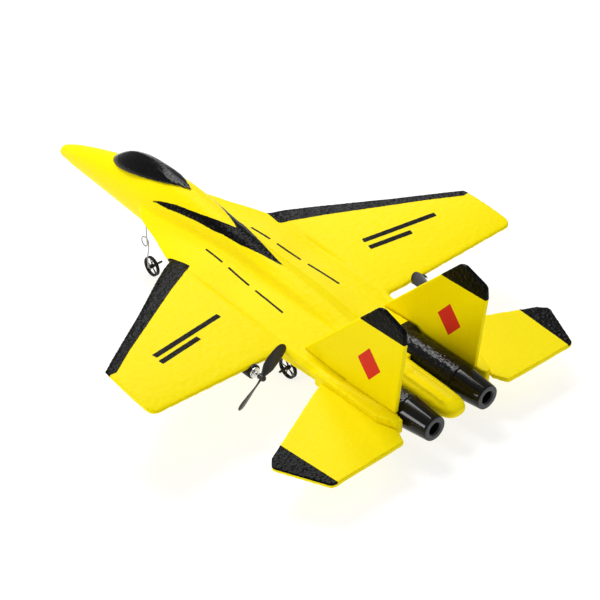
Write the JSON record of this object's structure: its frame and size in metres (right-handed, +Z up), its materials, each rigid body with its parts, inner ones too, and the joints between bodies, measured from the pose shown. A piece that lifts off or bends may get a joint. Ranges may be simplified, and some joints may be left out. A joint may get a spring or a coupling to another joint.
{
  "type": "rc flying wing",
  "caption": "Foam twin-fin jet-shaped radio control aeroplane with pusher propellers behind the wing, wire undercarriage, dummy jet nozzles and a belly electronics box.",
  "frame": {"origin": "on the ground, below the middle of the overall bounding box", "axes": "+Y towards the tail, +X towards the port wing tip, +Z up; standing on its three wheels"},
  "size_m": [0.29, 0.3936, 0.099],
  "materials": {
    "foam_yellow": "moulded expanded foam, satin, fine bead grain",
    "paint_black": "black paint over foam grain",
    "nozzle_black": "glossy black moulding",
    "pod_black": "black moulding",
    "prop_grey": "dark grey moulding, slight sheen",
    "motor_steel": "drawn steel can",
    "wire_steel": "drawn spring wire",
    "wheel_black": "black moulding",
    "sleeve_black": "soft sleeve",
    "box_grey": "black moulding, fine texture",
    "spar_carbon": "drawn fibre rod",
    "board_green": "solder mask",
    "battery_silver": "foil pouch",
    "lead_red": "soft insulation",
    "socket_white": "natural moulding",
    "switch_metal": "stamped can"
  },
  "bodies": {
    "airframe": {"fuselage_foam": "foam_yellow", "canopy": "paint_black", "wing_port": "foam_yellow", "wing_starboard": "foam_yellow", "wing_spars": "spar_carbon", "fin_port": "foam_yellow", "fin_starboard": "foam_yellow", "tailplane_port": "foam_yellow", "tailplane_starboard": "foam_yellow", "duct_port": "paint_black", "duct_starboard": "paint_black", "nozzle_port": "nozzle_black", "nozzle_starboard": "nozzle_black", "motor_pod_port": "pod_black", "motor_pod_starboard": "pod_black", "motor_can_port": "motor_steel", "motor_can_starboard": "motor_steel", "nose_gear_socket": "pod_black", "nose_gear_spring": "wire_steel", "main_gear_wire": "wire_steel", "main_axle_collars": "sleeve_black", "main_gear_plate": "pod_black", "electronics_box": "box_grey", "hatch_hinge_pin": "wire_steel", "battery": "battery_silver", "receiver_board": "board_green", "board_screws": "motor_steel", "battery_leads": "lead_red", "antenna_wire": "sleeve_black", "switch_body": "switch_metal", "charge_socket": "socket_white", "motor_leads": "lead_red"},
    "prop_port": {"motor_shaft_port": "wire_steel", "propeller_port": "prop_grey"},
    "prop_starboard": {"motor_shaft_starboard": "wire_steel", "propeller_starboard": "prop_grey"},
    "nose_leg": {"nose_gear_leg": "wire_steel", "nose_axle_collars": "sleeve_black"},
    "nose_wheel": {"nose_wheel": "wheel_black"},
    "main_wheel_port": {"main_wheel_port": "wheel_black"},
    "main_wheel_starboard": {"main_wheel_starboard": "wheel_black"},
    "hatch": {"battery_hatch": "box_grey"},
    "switch": {"switch_knob": "pod_black"}
  },
  "joints": [
    {"name": "prop_port_spin", "type": "hinge", "parent": "airframe", "child": "prop_port", "pos_m": [0.0686, 0.10093, 0.04063], "axis": [0, 0.9922, -0.1247], "continuous": true},
    {"name": "prop_starboard_spin", "type": "hinge", "parent": "airframe", "child": "prop_starboard", "pos_m": [-0.0686, 0.10093, 0.04063], "axis": [0, 0.9922, -0.1247], "continuous": true},
    {"name": "nose_leg_flex", "type": "hinge", "parent": "airframe", "child": "nose_leg", "pos_m": [0.0032, -0.10454, 0.02805], "axis": [1, 0, 0], "range_deg": [-5, 8], "stiffness_Nm_per_rad": 0.03},
    {"name": "nose_wheel_spin", "type": "hinge", "parent": "nose_leg", "child": "nose_wheel", "pos_m": [0, -0.10422, 0.00735], "axis": [1, 0, 0], "continuous": true},
    {"name": "main_wheel_port_spin", "type": "hinge", "parent": "airframe", "child": "main_wheel_port", "pos_m": [0.02, 0.06339, 0.00735], "axis": [1, 0, 0], "continuous": true},
    {"name": "main_wheel_starboard_spin", "type": "hinge", "parent": "airframe", "child": "main_wheel_starboard", "pos_m": [-0.02, 0.06339, 0.00735], "axis": [1, 0, 0], "continuous": true},
    {"name": "battery_hatch_hinge", "type": "hinge", "parent": "airframe", "child": "hatch", "pos_m": [0, -0.00366, 0.03603], "axis": [-1, 0, 0], "range_deg": [0, 100]},
    {"name": "power_switch_slide", "type": "slide", "parent": "airframe", "child": "switch", "axis": [1, 0, 0], "range_m": [0, 0.0022]}
  ]
}
